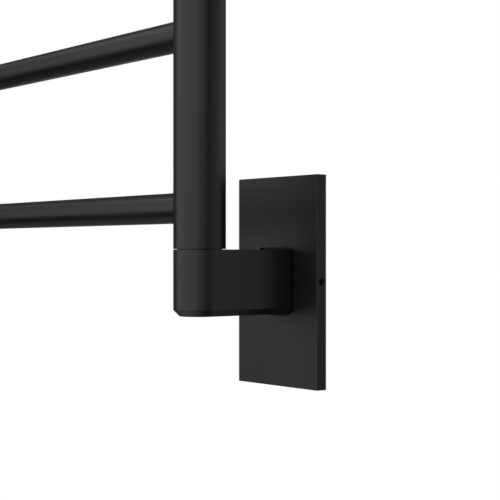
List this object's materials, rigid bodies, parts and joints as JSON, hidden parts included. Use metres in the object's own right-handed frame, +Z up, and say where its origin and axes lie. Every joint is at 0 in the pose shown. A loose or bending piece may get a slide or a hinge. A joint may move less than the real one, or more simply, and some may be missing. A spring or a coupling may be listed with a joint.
{
  "type": "swing-out towel rack",
  "caption": "Wall-mounted swing-out ladder towel rack in satin black: round bars between round uprights, pivoting on bracket arms with rectangular wall plates.",
  "frame": {"origin": "centre of the lower bracket on the wall plane", "axes": "+X to the right seen from the room, +Y into the wall, +Z up"},
  "size_m": [0.5525, 0.078, 1.1113],
  "materials": {
    "black_powder_coat": "satin fine-texture powder coat",
    "black_coated_casting": "satin powder coat on cast metal",
    "black_zinc_steel": "black zinc plate, satin",
    "stainless_steel": "turned stainless steel",
    "black_oxide_steel": "black oxide, slightly oily",
    "black_acetal": "moulded acetal, matte",
    "bare_aluminium": "turned aluminium"
  },
  "bodies": {
    "brackets": {"lower_wall_bracket": "black_zinc_steel", "upper_wall_bracket": "black_zinc_steel", "lower_cover_plate": "black_coated_casting", "upper_cover_plate": "black_coated_casting", "lower_arm": "black_coated_casting", "upper_arm": "black_coated_casting", "arm_screws": "stainless_steel", "grub_screws": "black_oxide_steel", "lower_pivot_pin": "stainless_steel", "upper_pivot_pin": "stainless_steel", "lower_pin_cap": "black_coated_casting", "upper_pin_cap": "black_coated_casting"},
    "ladder": {"lower_bush": "black_acetal", "upper_bush": "black_acetal", "lower_pivot_plug": "bare_aluminium", "upper_pivot_plug": "bare_aluminium", "lower_free_cap": "black_powder_coat", "upper_free_cap": "black_powder_coat", "pivot_upright": "black_powder_coat", "free_upright": "black_powder_coat", "bar_01": "black_powder_coat", "bar_02": "black_powder_coat", "bar_03": "black_powder_coat", "bar_04": "black_powder_coat", "bar_05": "black_powder_coat", "bar_06": "black_powder_coat", "bar_07": "black_powder_coat", "bar_08": "black_powder_coat", "bar_09": "black_powder_coat", "bar_10": "black_powder_coat"}
  },
  "joints": [
    {"name": "ladder_swing", "type": "hinge", "parent": "brackets", "child": "ladder", "pos_m": [0, -0.063, 0.49315], "axis": [0, 0, 1], "range_deg": [0, 180]}
  ]
}
